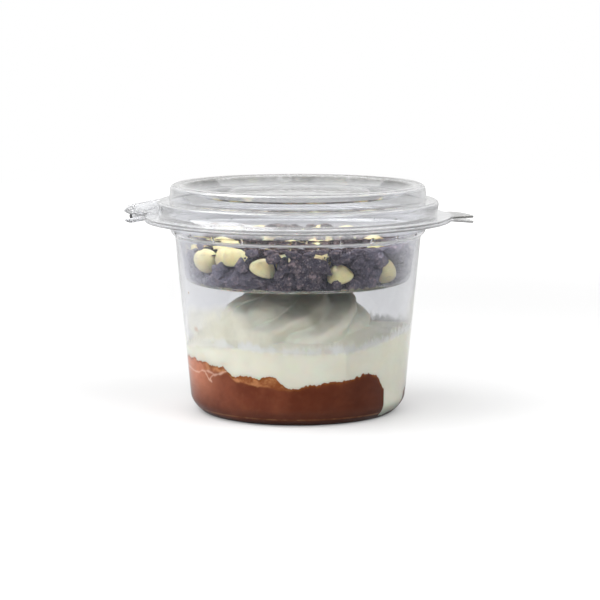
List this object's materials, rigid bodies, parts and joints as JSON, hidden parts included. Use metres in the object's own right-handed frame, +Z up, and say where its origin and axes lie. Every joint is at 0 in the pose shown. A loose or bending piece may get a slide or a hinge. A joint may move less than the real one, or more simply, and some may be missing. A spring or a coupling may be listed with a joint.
{
  "type": "layered yogurt dessert in a hinged clear pot",
  "caption": "Layered dessert of chocolate sauce, whipped yogurt, cookie crumbs and white drops in a clear round pot with an insert tray and a hinged domed lid.",
  "frame": {"origin": "middle of the ring that the pot stands on, at the height of the surface under it", "axes": "+Z up along the axis of the pot, -Y towards the side that the picture shows, +X to the right with the finger tabs"},
  "size_m": [0.1149, 0.101, 0.0751],
  "materials": {
    "clear_pot": "clear thin moulded plastic",
    "clear_tray": "clear thin moulded plastic",
    "clear_lid": "clear thin moulded plastic",
    "chocolate": "smooth wet chocolate sauce",
    "yogurt": "smooth moist whipped cream",
    "crumb": "dry broken cookie",
    "white_drop": "waxy white chocolate"
  },
  "bodies": {
    "pot": {"cup": "clear_pot", "tray": "clear_tray", "chocolate_sauce": "chocolate", "yogurt": "yogurt", "cookie_crumbs": "crumb", "white_drop_01": "white_drop", "white_drop_02": "white_drop", "white_drop_03": "white_drop", "white_drop_04": "white_drop", "white_drop_05": "white_drop", "white_drop_06": "white_drop", "white_drop_07": "white_drop", "white_drop_08": "white_drop", "white_drop_09": "white_drop", "white_drop_10": "white_drop", "white_drop_11": "white_drop", "white_drop_12": "white_drop", "white_drop_13": "white_drop", "white_drop_14": "white_drop", "white_drop_15": "white_drop", "white_drop_16": "white_drop", "white_drop_17": "white_drop", "white_drop_18": "white_drop", "white_drop_19": "white_drop", "white_drop_20": "white_drop", "white_drop_21": "white_drop", "white_drop_22": "white_drop"},
    "lid": {"lid": "clear_lid"}
  },
  "joints": [
    {"name": "lid_hinge", "type": "hinge", "parent": "pot", "child": "lid", "pos_m": [-0.05095, 0.02058, 0.064], "axis": [-0.3746, -0.9272, 0], "range_deg": [0, 180]}
  ]
}
